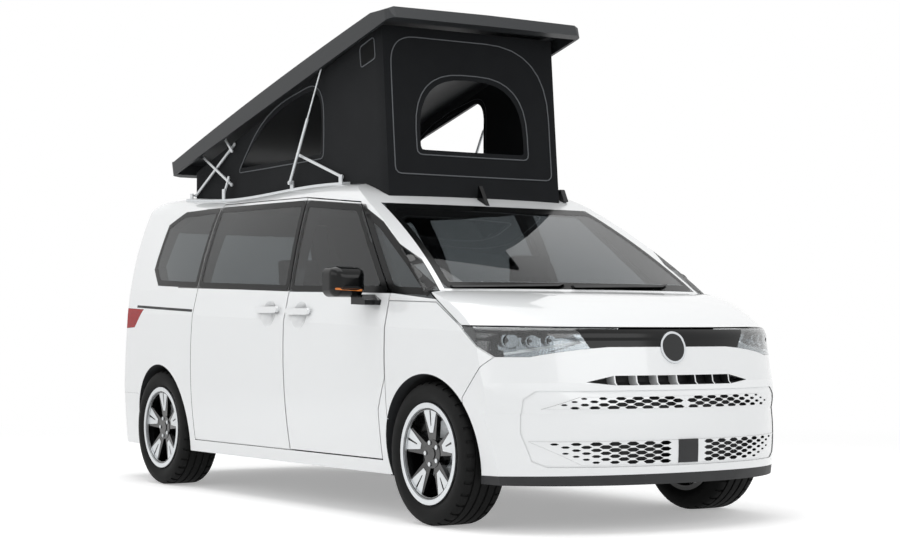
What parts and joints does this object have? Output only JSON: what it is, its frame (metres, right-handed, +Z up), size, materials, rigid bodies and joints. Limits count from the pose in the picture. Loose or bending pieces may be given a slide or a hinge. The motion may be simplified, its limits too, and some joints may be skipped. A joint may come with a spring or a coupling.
{
  "type": "camper van",
  "caption": "Camper van with hinged doors, bonnet and tailgate, steered wheels and a front-raised pop-top roof on folding links above a fabric tent.",
  "frame": {"origin": "on the ground below the middle of the length and width", "axes": "+X forward, +Y to the van's left, +Z up"},
  "size_m": [4.9363, 2.37, 2.7314],
  "materials": {
    "body_paint": "gloss",
    "black_gloss": "gloss",
    "black_plastic": "satin",
    "glass": "gloss",
    "lamp_clear": "gloss",
    "lamp_red": "gloss",
    "tyre": "matte",
    "rim": "polished",
    "dark_metal": "satin",
    "cast": "matte",
    "silver": "satin",
    "shell_grey": "satin",
    "tent": "matte",
    "seat": "matte"
  },
  "bodies": {
    "van": {"body_shell": "body_paint", "underbody": "dark_metal", "wings": "body_paint", "front_bumper": "body_paint", "nose_band": "black_gloss", "headlamps": "dark_metal", "tail_lamps": "lamp_red", "rear_bumper": "body_paint", "windscreen": "glass", "sliding_doors": "body_paint", "side_glass": "glass", "dashboard": "black_plastic", "seats": "seat", "engine_block": "cast", "rear_axle": "cast", "front_axle": "cast", "roof_fin": "black_gloss", "tent": "tent", "roof_rails": "silver", "grille_mesh": "body_paint", "badge_disc": "silver", "front_lip": "black_plastic", "radar_cover": "black_plastic", "grille_backing": "black_plastic", "headlamp_lenses": "lamp_clear", "slide_rails": "black_plastic", "wipers": "black_plastic"},
    "door_r": {"door_r": "body_paint", "door_glass_r": "glass", "mirror_r": "black_gloss"},
    "door_l": {"door_l": "body_paint", "door_glass_l": "glass", "mirror_l": "black_gloss"},
    "tailgate": {"tailgate": "body_paint", "tailgate_glass": "glass"},
    "bonnet": {"bonnet": "body_paint"},
    "steering_wheel": {"steering_wheel": "black_plastic"},
    "knuckle_r": {"knuckle_r": "cast"},
    "knuckle_l": {"knuckle_l": "cast"},
    "pop_top": {"pop_top": "shell_grey"},
    "arms_a": {"arms_a": "silver"},
    "arms_b": {"arms_b": "silver"},
    "upper_rockers": {"upper_rockers": "silver"},
    "lower_rockers": {"lower_rockers": "silver"},
    "braces": {"braces": "silver"},
    "strut_tubes": {"strut_tubes": "silver"},
    "strut_rods": {"strut_rods": "silver"},
    "wheel_fr": {"tyre_fr": "tyre", "rim_fr": "rim"},
    "wheel_fl": {"tyre_fl": "tyre", "rim_fl": "rim"},
    "wheel_rr": {"tyre_rr": "tyre", "rim_rr": "rim"},
    "wheel_rl": {"tyre_rl": "tyre", "rim_rl": "rim"}
  },
  "joints": [
    {"name": "door_r_swing", "type": "hinge", "parent": "van", "child": "door_r", "pos_m": [1.2315, -0.974, 0.7], "axis": [0, 0, 1], "range_deg": [0, 65]},
    {"name": "door_l_swing", "type": "hinge", "parent": "van", "child": "door_l", "pos_m": [1.2315, 0.974, 0.7], "axis": [0, 0, -1], "range_deg": [0, 65]},
    {"name": "tailgate_lift", "type": "hinge", "parent": "van", "child": "tailgate", "pos_m": [-2.2065, 0, 1.858], "axis": [0, 1, 0], "range_deg": [0, 80]},
    {"name": "bonnet_lift", "type": "hinge", "parent": "van", "child": "bonnet", "pos_m": [1.565, 0, 1.17], "axis": [0, -1, 0], "range_deg": [0, 50]},
    {"name": "steer_l", "type": "hinge", "parent": "van", "child": "knuckle_l", "pos_m": [1.597, 0.77, 0.356], "axis": [0, 0, 1], "range_deg": [-33, 33]},
    {"name": "steer_r", "type": "hinge", "parent": "van", "child": "knuckle_r", "pos_m": [1.597, -0.77, 0.356], "axis": [0, 0, 1], "range_deg": [-33, 33]},
    {"name": "steering_wheel_turn", "type": "hinge", "parent": "van", "child": "steering_wheel", "pos_m": [1.117, 0.4, 1.01], "axis": [-0.9119, 0, 0.4104], "range_deg": [-495, 495]},
    {"name": "wheel_fr_spin", "type": "hinge", "parent": "knuckle_r", "child": "wheel_fr", "pos_m": [1.597, -0.82, 0.356], "axis": [0, 1, 0], "continuous": true},
    {"name": "wheel_fl_spin", "type": "hinge", "parent": "knuckle_l", "child": "wheel_fl", "pos_m": [1.597, 0.82, 0.356], "axis": [0, 1, 0], "continuous": true},
    {"name": "wheel_rr_spin", "type": "hinge", "parent": "van", "child": "wheel_rr", "pos_m": [-1.527, -0.82, 0.356], "axis": [0, 1, 0], "continuous": true},
    {"name": "wheel_rl_spin", "type": "hinge", "parent": "van", "child": "wheel_rl", "pos_m": [-1.527, 0.82, 0.356], "axis": [0, 1, 0], "continuous": true},
    {"name": "roof_lift", "type": "hinge", "parent": "van", "child": "pop_top", "pos_m": [-2.395, 0, 1.9], "axis": [0, 1, 0], "range_deg": [0, 15.4], "deforming": ["tent"]},
    {"name": "arm_a_fold", "type": "hinge", "parent": "van", "child": "arms_a", "pos_m": [-1.74, 0, 1.84], "axis": [0, 1, 0], "range_deg": [0, 26.5]},
    {"name": "arm_b_fold", "type": "hinge", "parent": "pop_top", "child": "arms_b", "pos_m": [-1.60688, 0, 2.07767], "axis": [0, 1, 0], "range_deg": [-38.7, 0]},
    {"name": "upper_rocker_fold", "type": "hinge", "parent": "pop_top", "child": "upper_rockers", "pos_m": [-1.2769, 0, 2.16752], "axis": [0, 1, 0], "range_deg": [-46.2, 0]},
    {"name": "lower_rocker_fold", "type": "hinge", "parent": "van", "child": "lower_rockers", "pos_m": [-1.26, 0, 1.84], "axis": [0, 1, 0], "range_deg": [0, 52.2]},
    {"name": "brace_fold", "type": "hinge", "parent": "van", "child": "braces", "pos_m": [0.158, 0, 1.836], "axis": [0, 1, 0], "range_deg": [-16.6, 0]},
    {"name": "strut_fold", "type": "hinge", "parent": "van", "child": "strut_tubes", "pos_m": [-0.42, 0, 1.838], "axis": [0, 1, 0], "range_deg": [0, 58.86]},
    {"name": "strut_stroke", "type": "slide", "parent": "strut_tubes", "child": "strut_rods", "axis": [0.5069, 0, 0.862], "range_m": [-0.3039, 0]}
  ],
  "couplings": [
    {"joint": "steer_r", "follows": "steer_l", "ratio": 1},
    {"joint": "steering_wheel_turn", "follows": "steer_l", "ratio": 15},
    {"joint": "arm_a_fold", "follows": "roof_lift", "ratio": 1.7078},
    {"joint": "arm_b_fold", "follows": "roof_lift", "ratio": -2.5},
    {"joint": "upper_rocker_fold", "follows": "roof_lift", "ratio": -2.987},
    {"joint": "lower_rocker_fold", "follows": "roof_lift", "ratio": 3.3766},
    {"joint": "brace_fold", "follows": "roof_lift", "ratio": -1.0649},
    {"joint": "strut_fold", "follows": "roof_lift", "ratio": 3.8094},
    {"joint": "strut_stroke", "follows": "roof_lift", "m_per_rad": -1.1232}
  ]
}
